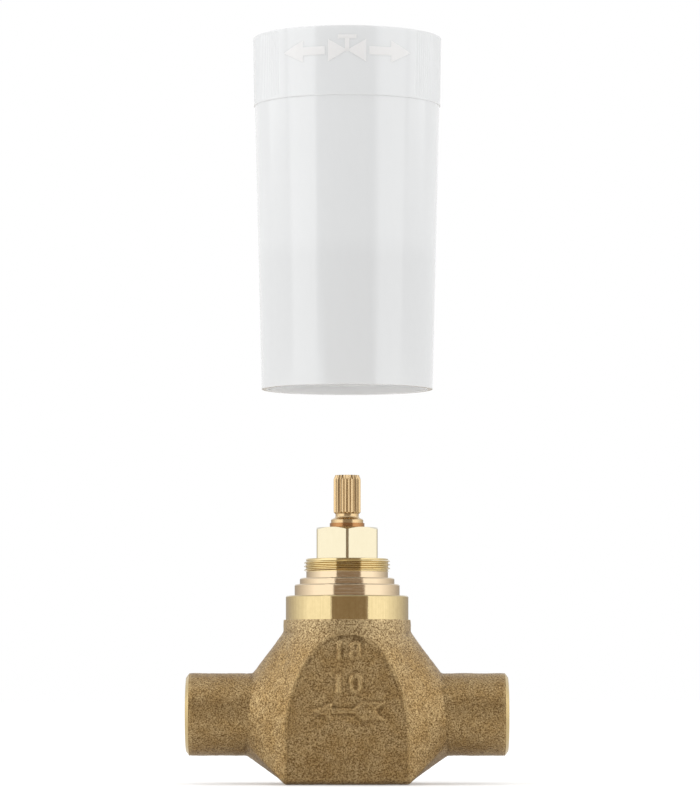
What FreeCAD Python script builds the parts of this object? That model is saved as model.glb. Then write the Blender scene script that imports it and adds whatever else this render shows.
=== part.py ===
import FreeCAD, Part
import os
import Sketcher
from FreeCAD import Placement, Rotation, Vector

# A concealed shut-off valve for a shower: a cast brass body with a solder socket on each side, a quarter-turn
# ceramic headpart screwed into its nose, and the plastic plaster sleeve that is pushed over the nose while
# the wall is built. Millimetres. The body stands on its base: X runs along the pipe, Z along the spindle, and
# the panel with the flow arrow faces -Y. Water enters at +X.

SIZES = [
    # casting, outside
    ("run_length", 89.6, "end to end of the two sockets"),
    ("run_height", 19.1, "axis of the sockets above the base"),
    ("socket_outside", 22.9, "outside diameter of a socket"),
    ("socket_bore", 18.15, "bore for an 18 mm tube"),
    ("socket_depth", 13.0, "depth to the tube stop"),
    ("socket_lead", 0.5, "lead-in chamfer of the bore"),
    ("end_chamfer_along", 0.9, "turned chamfer at a socket's end, along the run"),
    ("end_chamfer_deep", 1.2, "the same chamfer, across the wall"),
    ("base_width", 34.0, "flat base along the run"),
    ("base_corner", 3.0, "rounding between base and panels"),
    ("belly_across", 35.0, "front to back at the panels' edges"),
    ("belly_height", 13.6, "where the bell starts to close towards the neck"),
    ("crown_radius", 11.5, "crown of the arched sections"),
    ("flare_top", 42.9, "top of the flares beside the neck"),
    ("flare_end", 27.2, "where the flares run out on the sockets"),
    ("flare_tilt", 4.5, "lean of that run-out, in degrees"),
    ("panel_width", 33.8, "arched flat panel, front and back"),
    ("panel_top", 41.2, "top of the arched panel"),
    ("panel_across", 34.2, "front panel to back panel"),
    ("neck_diameter", 35.4, "cast neck under the collar"),
    ("neck_foot", 41.6, "where the neck leaves the bell"),
    ("neck_top", 45.7, "top of the neck"),
    ("cast_overlap", 0.05, "how far one cast form starts inside the next"),
    # turned nose, from the neck upwards
    ("collar_diameter", 34.2, "large turned collar"),
    ("collar_height", 6.4, "its height"),
    ("step_diameter", 29.3, "second step, which centres the sleeve"),
    ("step_height", 3.2, "its height"),
    ("shoulder_diameter", 26.4, "third step"),
    ("shoulder_height", 1.75, "its height"),
    ("undercut_diameter", 22.8, "relief under the trim thread"),
    ("undercut_height", 1.7, "its height"),
    ("trim_thread", 24.0, "outside of the trim thread"),
    ("trim_thread_length", 3.7, "its length"),
    ("thread_lead", 0.7, "chamfer at the start of that thread"),
    ("edge_break", 0.35, "small chamfer on turned edges"),
    # waterway
    ("seat_height", 29.0, "seat face above the base"),
    ("seat_bore", 10.0, "hole through the seat"),
    ("bridge_thickness", 3.0, "wall that carries the seat"),
    ("chamber_diameter", 25.0, "chamber round the headpart"),
    ("chamber_shoulder", 42.0, "where the chamber's roof starts"),
    ("chamber_roof", 47.0, "where the roof meets the head bore"),
    ("inlet_passage", 13.0, "bore from the inlet socket"),
    ("well_diameter", 18.0, "well under the seat"),
    ("well_floor", 4.5, "thickness of the casting under the well"),
    ("outlet_passage", 12.0, "bore to the outlet socket"),
    ("outlet_elbow", 24.5, "distance of the outlet's bend from the spindle axis"),
    ("outlet_rise", 52.5, "slope of the rising passage, in degrees"),
    ("outlet_reach", 3.0, "how far that passage runs into the chamber"),
    # headpart
    ("head_thread", 16.6, "thread that holds the headpart"),
    ("head_thread_length", 9.0, "its length"),
    ("head_recess", 20.0, "recess in the nose for the headpart's flange"),
    ("hexagon", 17.0, "across flats"),
    ("hexagon_height", 8.7, "height of the hexagon"),
    ("hexagon_chamfer", 30.0, "chamfer at its top, in degrees"),
    ("flange_diameter", 19.6, "round flange under the hexagon"),
    ("flange_thickness", 1.5, "its thickness"),
    ("gasket_thickness", 1.5, "flat seal under the flange"),
    ("housing_outside", 14.6, "skirt of the housing"),
    ("housing_bore", 12.3, "bore for the discs"),
    ("window_height", 5.6, "side windows of the skirt"),
    ("window_width", 9.0, "their width"),
    ("key_width", 3.0, "lugs that hold the lower disc"),
    ("seal_height", 3.2, "rubber seal on the seat"),
    ("seal_opening", 9.0, "hole in the rubber seal"),
    ("seal_lip", 1.0, "how far the rubber stands out of the housing"),
    ("support_wall", 0.6, "wall of the stiff ring in the seal"),
    ("support_height", 2.2, "height of that ring"),
    ("support_drop", 0.5, "how far it lies below the top of the seal"),
    ("disc_thickness", 3.2, "each ceramic disc"),
    ("disc_window", 80.0, "each of a disc's two windows, in degrees"),
    ("disc_hub", 2.6, "solid middle of a disc"),
    ("disc_rim", 0.9, "rim left outside a window"),
    ("washer_thickness", 0.6, "thrust washer"),
    # spindle
    ("spindle_diameter", 9.0, "shaft in the housing"),
    ("spindle_neck", 6.4, "shank between the discs and the shoulder"),
    ("spindle_shoulder", 11.9, "shoulder under the thrust washer"),
    ("shoulder_thickness", 1.5, "its thickness"),
    ("driver_gap", 6.8, "height of the shank above the upper disc"),
    ("tongue_width", 3.6, "tongue that turns the upper disc"),
    ("tongue_length", 10.4, "its length"),
    ("tongue_depth", 1.3, "its depth in the disc"),
    ("ring_height", 1.2, "retaining ring"),
    ("ring_diameter", 9.7, "its outside"),
    ("ring_root", 7.4, "bottom of its groove"),
    ("ring_gap", 50.0, "opening of the ring, in degrees"),
    ("spindle_lip", 1.2, "lip above the ring's groove"),
    ("relief_height", 1.4, "relief under the spline"),
    ("relief_diameter", 6.5, "its diameter"),
    ("spline_diameter", 7.65, "over the teeth"),
    ("spline_root", 6.7, "between the teeth"),
    ("spline_length", 10.8, "length of the teeth"),
    ("spline_lead_along", 1.2, "chamfer at the start of the teeth, along the spindle"),
    ("spline_lead_deep", 0.45, "the same chamfer, across the teeth"),
    ("spline_teeth", 20, "number of teeth"),
    ("spline_land", 0.06, "flat on top of a tooth"),
    ("screw_hole", 4.2, "tapping hole for the handle screw"),
    ("screw_depth", 11.5, "its depth"),
    ("screw_point", 118.0, "drill point at its end, in degrees"),
    ("o_ring_section", 1.2, "section of the spindle's O-rings"),
    ("o_ring_first", 53.0, "height of the lower O-ring"),
    ("o_ring_pitch", 6.0, "distance between the two"),
    # plaster sleeve, heights above its own rim
    ("sleeve_lift", 59.8, "how far the sleeve hangs above its seat"),
    ("sleeve_rim", 47.9, "outside at the lower rim"),
    ("sleeve_under_band", 51.9, "outside just under the band"),
    ("sleeve_band", 79.6, "where the band starts"),
    ("band_foot", 52.4, "outside at the foot of the band"),
    ("band_top", 53.0, "outside at the top"),
    ("sleeve_height", 98.8, "overall height"),
    ("sleeve_wall", 1.6, "outer wall"),
    ("sleeve_draft", 0.4, "how much thicker the skirt is at the web"),
    ("web_height", 37.4, "underside of the web"),
    ("web_thickness", 2.0, "thickness of the web"),
    ("hub_wall", 1.5, "wall of the hub that sits on the nose"),
    ("hub_recess", 2.1, "how far the hub ends above the rim"),
    # fits
    ("running_gap", 0.05, "radial play of what turns"),
    ("thread_gap", 0.05, "radial play of threads"),
    ("seating_gap", 0.05, "radial play of seals and discs"),
    ("face_gap", 0.03, "play between faces that slide on each other"),
    ("sleeve_gap", 0.25, "radial play of the sleeve's hub"),
]

doc = FreeCAD.newDocument("concealed_valve")
sheet = doc.addObject("Spreadsheet::Sheet", "sizes")
for row, (alias, value, note) in enumerate(SIZES, start=1):
    sheet.set(f"A{row}", note)
    sheet.set(f"B{row}", str(value))
    sheet.setAlias(f"B{row}", alias)
doc.recompute()


# Expressions

def cell(name):
    return f"sizes.{name}"


def half(name):
    return f"sizes.{name} / 2"


def total(*names):
    return "(" + " + ".join(cell(name) for name in names) + ")"


def number(expression):
    return float(sheet.evalExpression(expression))


COLLAR_TOP = total("neck_top", "collar_height")
STEP_TOP = total("neck_top", "collar_height", "step_height")
SHOULDER_TOP = total("neck_top", "collar_height", "step_height", "shoulder_height")
UNDERCUT_TOP = f"({SHOULDER_TOP} + sizes.undercut_height)"
NOSE_TOP = f"({UNDERCUT_TOP} + sizes.trim_thread_length)"
FLANGE_FOOT = f"({NOSE_TOP} - sizes.flange_thickness)"
RECESS_FLOOR = f"({FLANGE_FOOT} - sizes.gasket_thickness)"
HEXAGON_TOP = f"({NOSE_TOP} + sizes.hexagon_height)"
HOUSING_FOOT = total("seat_height", "seal_lip")
SEAL_TOP = total("seat_height", "seal_height")
LOWER_DISC_TOP = f"({SEAL_TOP} + sizes.disc_thickness)"
UPPER_DISC_FOOT = f"({LOWER_DISC_TOP} + sizes.face_gap)"
UPPER_DISC_TOP = f"({UPPER_DISC_FOOT} + sizes.disc_thickness)"
SHOULDER_FOOT = f"({UPPER_DISC_TOP} + sizes.driver_gap)"
SHOULDER_FACE = f"({SHOULDER_FOOT} + sizes.shoulder_thickness)"
WASHER_FOOT = f"({SHOULDER_FACE} + sizes.face_gap)"
HOUSING_STEP = f"({WASHER_FOOT} + sizes.washer_thickness)"
RING_FOOT = f"({HEXAGON_TOP} + sizes.face_gap)"
RING_TOP = f"({RING_FOOT} + sizes.ring_height)"
LIP_TOP = f"({RING_TOP} + sizes.spindle_lip)"
SPLINE_FOOT = f"({LIP_TOP} + sizes.relief_height)"
SPINDLE_TOP = f"({SPLINE_FOOT} + sizes.spline_length)"
SLEEVE_FOOT = f"({COLLAR_TOP} - sizes.hub_recess + sizes.sleeve_lift)"

BELL_SIDE = f"({half('belly_across')} - sizes.cast_overlap)"
BELL_RADIUS = f"sqrt(({half('base_width')}) ^ 2 + {BELL_SIDE} ^ 2)"
# Limits and cutters reach this far, which is past every side of the casting's bell.
OVERSIZE = f"(2 * {BELL_RADIUS})"


# Sketches

# A sketch's own axes and origin, the two ends of a line or an arc, and when two points count as one.
ACROSS_AXIS, UP_AXIS = -1, -2
ORIGIN = (-1, 1)
START, END = 1, 2
SAME_POINT = 1e-6


def tangent_arc(start, heading, end):
    """An arc from start to end that leaves start along heading."""
    side = Vector(-heading.y, heading.x, 0)
    chord = end - start
    centre = start + side * (chord.Length ** 2 / (2 * chord.dot(side)))
    radius = (start - centre).Length
    between = (start - centre) + (end - centre)
    middle = centre + between.normalize() * radius
    return Part.Arc(start, middle, end), centre


def pin_down(sketch, geometry, position, axis, expression):
    """Ties one coordinate of a point to an expression."""
    if expression == "0":
        line = UP_AXIS if axis == "X" else ACROSS_AXIS
        sketch.addConstraint(Sketcher.Constraint("PointOnObject", geometry, position, line))
        return
    place = number(expression)
    ends = (*ORIGIN, geometry, position)
    if place < 0:
        ends = (geometry, position, *ORIGIN)
        expression = f"-({expression})"
    index = sketch.addConstraint(Sketcher.Constraint(f"Distance{axis}", *ends, abs(place)))
    sketch.setExpression(f"Constraints[{index}]", expression)


def outline(sketch, corners):
    """Draws a closed outline. A corner is (across, up); a third word, arc, makes the stretch that leaves the
    corner an arc that carries on in the direction of the stretch before it."""
    spots = [Vector(number(corner[0]), number(corner[1]), 0) for corner in corners]
    ends = []
    heading = None
    for index, corner in enumerate(corners):
        start = spots[index]
        end = spots[(index + 1) % len(spots)]
        if len(corner) == 3:
            piece, centre = tangent_arc(start, heading, end)
            spoke = (end - centre).normalize()
            turn = 1 if (start - centre).cross(end - centre).z > 0 else -1
            heading = Vector(-spoke.y, spoke.x, 0) * turn
        else:
            piece = Part.LineSegment(start, end)
            heading = (end - start).normalize()
        geometry = sketch.addGeometry(piece)
        starts_first = (sketch.getPoint(geometry, START) - start).Length < SAME_POINT
        ends.append((START, END) if starts_first else (END, START))
    for index, corner in enumerate(corners):
        before = (index - 1) % len(corners)
        kind = "Tangent" if len(corner) == 3 else "Coincident"
        meeting = (before, ends[before][1], index, ends[index][0])
        sketch.addConstraint(Sketcher.Constraint(kind, *meeting))
        pin_down(sketch, index, ends[index][0], "X", corner[0])
        pin_down(sketch, index, ends[index][0], "Y", corner[1])


def body_sketch(body, name, role):
    """A sketch on one of the body's own origin planes."""
    sketch = body.newObject("Sketcher::SketchObject", name)
    plane = next(feature for feature in body.Origin.OriginFeatures if feature.Role == role)
    sketch.AttachmentSupport = (plane, [""])
    sketch.MapMode = "FlatFace"
    return sketch


def free_sketch(name, rotation):
    sketch = doc.addObject("Sketcher::SketchObject", name)
    sketch.Placement = Placement(Vector(), rotation)
    return sketch


FACING_Y = Rotation(Vector(1, 0, 0), 90)
FACING_X = Rotation(Vector(1, 1, 1), 120)


def turned(label, corners, angle="360"):
    """A body turned about the Z axis from (radius, height) corners."""
    body = doc.addObject("PartDesign::Body", label)
    sketch = body_sketch(body, f"{label}_profile", "XZ_Plane")
    outline(sketch, corners)
    revolve = body.newObject("PartDesign::Revolution", f"{label}_turned")
    revolve.Profile = sketch
    revolve.ReferenceAxis = (sketch, ["V_Axis"])
    revolve.setExpression("Angle", angle)
    doc.recompute()
    return body


def ring(label, inside, outside, foot, top):
    return turned(label, [(inside, foot), (outside, foot), (outside, top), (inside, top)])


def bound(kind, name, **expressions):
    """A Part object with properties tied to expressions; double underscores stand for dots."""
    thing = doc.addObject(f"Part::{kind}", name)
    for key, expression in expressions.items():
        thing.setExpression(key.replace("__", "."), expression)
    return thing


def merged(name, pieces):
    fuse = doc.addObject("Part::MultiFuse", name)
    fuse.Shapes = pieces
    return fuse


def cut(name, base, tool):
    result = doc.addObject("Part::Cut", name)
    result.Base = base
    result.Tool = tool
    return result


def mirrored(name, source, normal):
    result = doc.addObject("Part::Mirroring", name)
    result.Source = source
    result.Normal = normal
    return result


def revolved(name, sketch, axis):
    result = doc.addObject("Part::Revolution", name)
    result.Source = sketch
    result.Axis = axis
    result.Angle = 360
    result.Solid = True
    return result


def extruded(name, sketch, direction, length):
    result = doc.addObject("Part::Extrusion", name)
    result.Base = sketch
    result.DirMode = "Custom"
    result.Dir = direction
    result.Solid = True
    result.setExpression("LengthFwd", length)
    return result


# The casting

def arch_corners(half_width, foot, spring, top):
    """A flat-footed arch with upright sides and a rounded crown, symmetrical about the upright axis."""
    crown = cell("crown_radius")
    rise = f"({top} - {crown} - {spring})"
    flank = f"((({half_width}) ^ 2 + {rise} ^ 2 - {crown} ^ 2) / (2 * ({half_width} - {crown})))"
    reach = f"({flank} / ({flank} - {crown}))"
    knee = f"({half_width} - {flank} + {reach} * ({flank} - {half_width}))"
    knee_height = f"({spring} + {reach} * {rise})"
    return [
        (f"-({half_width})", foot),
        (half_width, foot),
        (half_width, spring, "arc"),
        (knee, knee_height, "arc"),
        (f"-{knee}", knee_height, "arc"),
        (f"-({half_width})", spring),
    ]


def bell_and_nose():
    """The bell of the casting, its neck and the turned nose, as one revolved profile."""
    sketch = free_sketch("nose_profile", FACING_Y)
    ease = cell("edge_break")
    outline(sketch, [
        ("0", "0"),
        (BELL_RADIUS, "0"),
        (BELL_RADIUS, cell("belly_height"), "arc"),
        (half("neck_diameter"), cell("neck_foot")),
        (half("neck_diameter"), cell("neck_top")),
        (half("collar_diameter"), cell("neck_top")),
        (half("collar_diameter"), f"{COLLAR_TOP} - {ease}"),
        (f"{half('collar_diameter')} - {ease}", COLLAR_TOP),
        (half("step_diameter"), COLLAR_TOP),
        (half("step_diameter"), f"{STEP_TOP} - {ease}"),
        (f"{half('step_diameter')} - {ease}", STEP_TOP),
        (half("shoulder_diameter"), STEP_TOP),
        (half("shoulder_diameter"), f"{SHOULDER_TOP} - {ease}"),
        (f"{half('shoulder_diameter')} - {ease}", SHOULDER_TOP),
        (half("undercut_diameter"), SHOULDER_TOP),
        (half("undercut_diameter"), UNDERCUT_TOP),
        (f"{half('trim_thread')} - {ease}", UNDERCUT_TOP),
        (half("trim_thread"), f"{UNDERCUT_TOP} + {ease}"),
        (half("trim_thread"), f"{NOSE_TOP} - sizes.thread_lead"),
        (f"{half('trim_thread')} - sizes.thread_lead", NOSE_TOP),
        ("0", NOSE_TOP),
    ])
    whole = revolved("bell_and_nose", sketch, Vector(0, 0, 1))
    middle = bound(
        "Box", "bell_limits",
        Length=cell("base_width"),
        Width=f"2 * {OVERSIZE}",
        Height=cell("neck_foot"),
        Placement__Base__x=f"-{half('base_width')}",
        Placement__Base__y=f"-{OVERSIZE}",
    )
    upper = bound(
        "Cylinder", "nose_limits",
        Radius=OVERSIZE,
        Height=f"{NOSE_TOP} - sizes.neck_foot",
        Placement__Base__z=cell("neck_foot"),
    )
    result = doc.addObject("Part::Common", "bell_between_flares")
    result.Base = whole
    result.Tool = merged("bell_extent", [middle, upper])
    return result


def run_of_sockets():
    """The two sockets and the flares that lead from them into the bell."""
    profile = free_sketch("run_profile", FACING_Y)
    radius = half("socket_outside")
    end = half("run_length")
    outline(profile, [
        (f"-({end})", "0"),
        (end, "0"),
        (end, f"{radius} - sizes.end_chamfer_deep"),
        (f"{end} - sizes.end_chamfer_along", radius),
        (f"-({end} - sizes.end_chamfer_along)", radius),
        (f"-({end})", f"{radius} - sizes.end_chamfer_deep"),
    ])
    profile.setExpression("Placement.Base.z", cell("run_height"))
    run = revolved("run", profile, Vector(1, 0, 0))
    run.setExpression("Base.z", cell("run_height"))
    sections = []
    for side, name in ((-1, "outlet"), (1, "inlet")):
        arch = free_sketch(f"{name}_arch", FACING_X)
        outline(arch, arch_corners(half("belly_across"), "0", cell("belly_height"), cell("flare_top")))
        arch.setExpression("Placement.Base.x", f"{side} * {half('base_width')}")
        circle = bound(
            "Circle", f"{name}_run_out",
            Radius=f"{radius} - sizes.cast_overlap",
            Placement__Base__x=f"{side} * sizes.flare_end",
            Placement__Base__z=cell("run_height"),
        )
        circle.Placement = Placement(Vector(), Rotation(Vector(0, 1, 0), 90))
        circle.setExpression("Placement.Rotation.Angle", f"90 - {side} * sizes.flare_tilt")
        sections += [circle, arch] if side < 0 else [arch, circle]
    flares = doc.addObject("Part::Loft", "flares")
    flares.Sections = sections
    flares.Ruled = True
    flares.Solid = True
    return [run, flares]


def trimmings():
    """What is taken off the outside: the rounded base corners and the arched panels, front and back."""
    width = half("belly_across")
    corner = free_sketch("base_corner_profile", FACING_X)
    outline(corner, [
        (width, cell("belly_height")),
        (width, cell("base_corner"), "arc"),
        (f"{width} - sizes.base_corner", "0"),
        (f"{width} - sizes.base_corner", f"-{cell('base_corner')}"),
        (OVERSIZE, f"-{cell('base_corner')}"),
        (OVERSIZE, cell("belly_height")),
    ])
    rounding = extruded("base_corner_cut", corner, Vector(1, 0, 0), cell("run_length"))
    rounding.Symmetric = True
    panel = free_sketch("panel_outline", FACING_Y)
    foot = f"-{cell('base_corner')}"
    outline(panel, arch_corners(half("panel_width"), foot, cell("belly_height"), cell("panel_top")))
    panel.setExpression("Placement.Base.y", f"-{half('panel_across')}")
    recess = extruded("panel_cut", panel, Vector(0, -1, 0), OVERSIZE)
    across = Vector(0, 1, 0)
    return [rounding, mirrored("base_corner_cut_front", rounding, across),
            recess, mirrored("panel_cut_back", recess, across)]


def socket_core(name, side, passage, inner_end):
    """A socket with its lead-in, its tube stop and the passage behind it."""
    sketch = free_sketch(f"{name}_profile", FACING_Y)
    end = half("run_length")
    bore = half("socket_bore")
    stop = f"({end} - sizes.socket_depth)"
    along = [
        (inner_end, "0"),
        (f"{end} + sizes.socket_lead", "0"),
        (f"{end} + sizes.socket_lead", f"{bore} + 2 * sizes.socket_lead"),
        (f"{end} - sizes.socket_lead", bore),
        (stop, bore),
        (stop, half(passage)),
        (inner_end, half(passage)),
    ]
    outline(sketch, [(x if x == "0" else f"{side} * ({x})", up) for x, up in along])
    sketch.setExpression("Placement.Base.z", cell("run_height"))
    core = revolved(name, sketch, Vector(1, 0, 0))
    core.setExpression("Base.z", cell("run_height"))
    return core


def waterway():
    """Everything that is hollow: the sockets, the passages on either side of the seat, and the head bore."""
    inlet = socket_core("inlet_core", 1, "inlet_passage", "0")
    outlet = socket_core("outlet_core", -1, "outlet_passage", cell("outlet_elbow"))
    well_end = bound(
        "Sphere", "well_end",
        Radius=half("well_diameter"),
        Placement__Base__z=f"sizes.well_floor + {half('well_diameter')}",
    )
    well = bound(
        "Cylinder", "well",
        Radius=half("well_diameter"),
        Height=f"sizes.seat_height - sizes.bridge_thickness - sizes.well_floor - {half('well_diameter')}",
        Placement__Base__z=f"sizes.well_floor + {half('well_diameter')}",
    )
    elbow = bound(
        "Sphere", "outlet_bend",
        Radius=half("outlet_passage"),
        Placement__Base__x=f"-{cell('outlet_elbow')}",
        Placement__Base__z=cell("run_height"),
    )
    rise = bound(
        "Cylinder", "rising_passage",
        Radius=half("outlet_passage"),
        Height=f"(sizes.outlet_elbow - {half('chamber_diameter')} + sizes.outlet_reach)"
               " / cos(sizes.outlet_rise * 1 deg)",
        Placement__Base__x=f"-{cell('outlet_elbow')}",
        Placement__Base__z=cell("run_height"),
    )
    rise.Placement = Placement(Vector(), Rotation(Vector(0, 1, 0), 45))
    rise.setExpression("Placement.Rotation.Angle", "90 - sizes.outlet_rise")
    head = free_sketch("head_bore_profile", FACING_Y)
    bore = f"({half('head_thread')} + sizes.thread_gap)"
    under_seat = "(sizes.seat_height - sizes.bridge_thickness)"
    outline(head, [
        ("0", under_seat),
        (half("seat_bore"), under_seat),
        (half("seat_bore"), cell("seat_height")),
        (half("chamber_diameter"), cell("seat_height")),
        (half("chamber_diameter"), cell("chamber_shoulder")),
        (bore, cell("chamber_roof")),
        (bore, RECESS_FLOOR),
        (half("head_recess"), RECESS_FLOOR),
        (half("head_recess"), f"{NOSE_TOP} + sizes.edge_break"),
        ("0", f"{NOSE_TOP} + sizes.edge_break"),
    ])
    head_bore = revolved("head_bore", head, Vector(0, 0, 1))
    return [inlet, outlet, well_end, well, elbow, rise, head_bore]


def valve_body():
    outside = merged("casting_outside", [bell_and_nose()] + run_of_sockets())
    return cut("valve_body", outside, merged("casting_cuts", trimmings() + waterway()))


# The headpart

def pocket(body, sketch, length=None, both_ways=False, reverse=False):
    cutter = body.newObject("PartDesign::Pocket", f"{sketch.Name}_cut")
    cutter.Profile = sketch
    if length:
        cutter.setExpression("Length", length)
    else:
        cutter.Type = "ThroughAll"
    cutter.Midplane = both_ways
    cutter.Reversed = reverse
    doc.recompute()
    return cutter


def rectangle(sketch, half_across, low, high):
    left = f"-({half_across})"
    outline(sketch, [(left, low), (half_across, low), (half_across, high), (left, high)])


def headpart_housing():
    """The brass housing: hexagon, flange, thread and a skirt with two windows."""
    bore = f"({half('spindle_diameter')} + sizes.running_gap)"
    corner = f"({half('hexagon')} / cos(30 deg))"
    slope = f"({corner} - {half('hexagon')}) * tan(sizes.hexagon_chamfer * 1 deg)"
    thread_foot = f"({RECESS_FLOOR} - sizes.head_thread_length)"
    body = turned("headpart_housing", [
        (half("housing_bore"), HOUSING_FOOT),
        (half("housing_outside"), HOUSING_FOOT),
        (half("housing_outside"), thread_foot),
        (half("head_thread"), thread_foot),
        (half("head_thread"), FLANGE_FOOT),
        (half("flange_diameter"), FLANGE_FOOT),
        (half("flange_diameter"), NOSE_TOP),
        (corner, NOSE_TOP),
        (corner, f"{HEXAGON_TOP} - {slope}"),
        (half("hexagon"), HEXAGON_TOP),
        (bore, HEXAGON_TOP),
        (bore, HOUSING_STEP),
        (half("housing_bore"), HOUSING_STEP),
    ])
    flats = body_sketch(body, "hexagon_flats", "XY_Plane")
    flats.setExpression("AttachmentOffset.Base.z", NOSE_TOP)
    outline(flats, [
        (half("hexagon"), f"-{corner}"),
        (f"2 * {corner}", f"-{corner}"),
        (f"2 * {corner}", corner),
        (half("hexagon"), corner),
    ])
    flat = pocket(body, flats, cell("hexagon_height"), reverse=True)
    six = body.newObject("PartDesign::PolarPattern", "six_flats")
    six.Originals = [flat]
    six.Axis = (flats, ["N_Axis"])
    six.Angle = 360
    six.Occurrences = 6
    body.Tip = six
    doc.recompute()
    windows = body_sketch(body, "windows", "YZ_Plane")
    rectangle(windows, half("window_width"), f"{SHOULDER_FOOT} - sizes.window_height", SHOULDER_FOOT)
    pocket(body, windows, both_ways=True)
    keys = body_sketch(body, "key_slots", "YZ_Plane")
    slot = f"{half('key_width')} + sizes.seating_gap"
    rectangle(keys, slot, cell("seat_height"), LOWER_DISC_TOP)
    pocket(body, keys, both_ways=True)
    return body


def windowed_disc(label, foot, turn):
    """A ceramic disc with two opposite windows, the first turned by an angle from the X axis."""
    blank = bound(
        "Cylinder", f"{label}_blank",
        Radius=f"{half('housing_bore')} - sizes.seating_gap",
        Height=cell("disc_thickness"),
        Placement__Base__z=foot,
    )
    windows = []
    for side in (0, 180):
        sector = bound(
            "Cylinder", f"{label}_sector",
            Radius=f"{half('housing_bore')} - sizes.seating_gap - sizes.disc_rim",
            Height=cell("disc_thickness"),
            Angle=cell("disc_window"),
            Placement__Base__z=foot,
        )
        sector.Placement = Placement(Vector(), Rotation(Vector(0, 0, 1), 90))
        sector.setExpression("Placement.Rotation.Angle", f"{side + turn} - {half('disc_window')}")
        windows.append(sector)
    hub = bound(
        "Cylinder", f"{label}_hub",
        Radius=half("disc_hub"),
        Height=cell("disc_thickness"),
        Placement__Base__z=foot,
    )
    return blank, cut(f"{label}_windows", merged(f"{label}_sectors", windows), hub)


def lower_disc():
    """The fixed disc: its windows face X, and two lugs lie in the housing's slots."""
    blank, windows = windowed_disc("lower_disc", SEAL_TOP, 0)
    lugs = bound(
        "Box", "lower_disc_lugs",
        Length=cell("housing_outside"),
        Width=cell("key_width"),
        Height=cell("disc_thickness"),
        Placement__Base__x=f"-{half('housing_outside')}",
        Placement__Base__y=f"-{half('key_width')}",
        Placement__Base__z=SEAL_TOP,
    )
    return cut("lower_disc", merged("lower_disc_with_lugs", [blank, lugs]), windows)


def upper_disc():
    """The turning disc: closed at rest, because its windows lie across the lower disc's."""
    blank, windows = windowed_disc("upper_disc", UPPER_DISC_FOOT, 90)
    slot = bound(
        "Box", "upper_disc_slot",
        Length=cell("housing_bore"),
        Width="sizes.tongue_width + 2 * sizes.seating_gap",
        Height=total("tongue_depth", "seating_gap"),
        Placement__Base__x=f"-{half('housing_bore')}",
        Placement__Base__y=f"-{half('tongue_width')} - sizes.seating_gap",
        Placement__Base__z=f"{UPPER_DISC_TOP} - sizes.tongue_depth - sizes.seating_gap",
    )
    return cut("upper_disc", blank, merged("upper_disc_openings", [windows, slot]))


def o_ring_height(index):
    return f"(sizes.o_ring_first + {index} * sizes.o_ring_pitch)"


def spindle():
    """One turned piece: tongue, shank, shoulder, shaft with its grooves, spline and screw hole."""
    shaft = half("spindle_diameter")
    groove = f"({shaft} - sizes.o_ring_section)"
    hole_floor = f"({SPINDLE_TOP} - sizes.screw_depth)"
    drill_tip = f"{half('screw_hole')} / tan({half('screw_point')} * 1 deg)"
    ease = cell("edge_break")
    corners = [
        ("0", UPPER_DISC_TOP),
        (half("spindle_neck"), UPPER_DISC_TOP),
        (half("spindle_neck"), SHOULDER_FOOT),
        (half("spindle_shoulder"), SHOULDER_FOOT),
        (half("spindle_shoulder"), SHOULDER_FACE),
        (shaft, SHOULDER_FACE),
    ]
    for index in (0, 1):
        low = f"({o_ring_height(index)} - {half('o_ring_section')} - sizes.seating_gap)"
        high = f"({o_ring_height(index)} + {half('o_ring_section')} + sizes.seating_gap)"
        corners += [(shaft, low), (groove, low), (groove, high), (shaft, high)]
    corners += [
        (shaft, f"{RING_FOOT} - sizes.face_gap"),
        (half("ring_root"), f"{RING_FOOT} - sizes.face_gap"),
        (half("ring_root"), f"{RING_TOP} + sizes.face_gap"),
        (shaft, f"{RING_TOP} + sizes.face_gap"),
        (shaft, f"{LIP_TOP} - {ease}"),
        (f"{shaft} - {ease}", LIP_TOP),
        (half("relief_diameter"), LIP_TOP),
        (half("relief_diameter"), SPLINE_FOOT),
        (half("spline_diameter"), SPLINE_FOOT),
        (half("spline_diameter"), f"{SPINDLE_TOP} - sizes.spline_lead_along"),
        (f"{half('spline_diameter')} - sizes.spline_lead_deep", SPINDLE_TOP),
        (half("screw_hole"), SPINDLE_TOP),
        (half("screw_hole"), hole_floor),
        ("0", f"{hole_floor} - {drill_tip}"),
    ]
    body = turned("spindle", corners)
    tongue = body_sketch(body, "tongue_outline", "XZ_Plane")
    rectangle(tongue, half("tongue_length"), f"{UPPER_DISC_TOP} - sizes.tongue_depth",
              f"{UPPER_DISC_TOP} + sizes.tongue_depth")
    blade = body.newObject("PartDesign::Pad", "tongue")
    blade.Profile = tongue
    blade.Midplane = True
    blade.setExpression("Length", cell("tongue_width"))
    doc.recompute()
    space = body_sketch(body, "tooth_space", "XY_Plane")
    space.setExpression("AttachmentOffset.Base.z", SPLINE_FOOT)
    deep = f"({half('spline_diameter')} - {half('spline_root')})"
    mouth = f"({half('spline_diameter')} * tan(180 deg / sizes.spline_teeth) - {half('spline_land')})"
    outline(space, [
        (half("spline_root"), "0"),
        (f"{half('spline_diameter')} + {deep}", f"-2 * {mouth}"),
        (f"{half('spline_diameter')} + {deep}", f"2 * {mouth}"),
    ])
    gap = pocket(body, space, cell("spline_length"), reverse=True)
    teeth = body.newObject("PartDesign::PolarPattern", "teeth")
    teeth.Originals = [gap]
    teeth.Axis = (space, ["N_Axis"])
    teeth.Angle = 360
    teeth.setExpression("Occurrences", cell("spline_teeth"))
    body.Tip = teeth
    doc.recompute()
    return body


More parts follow.
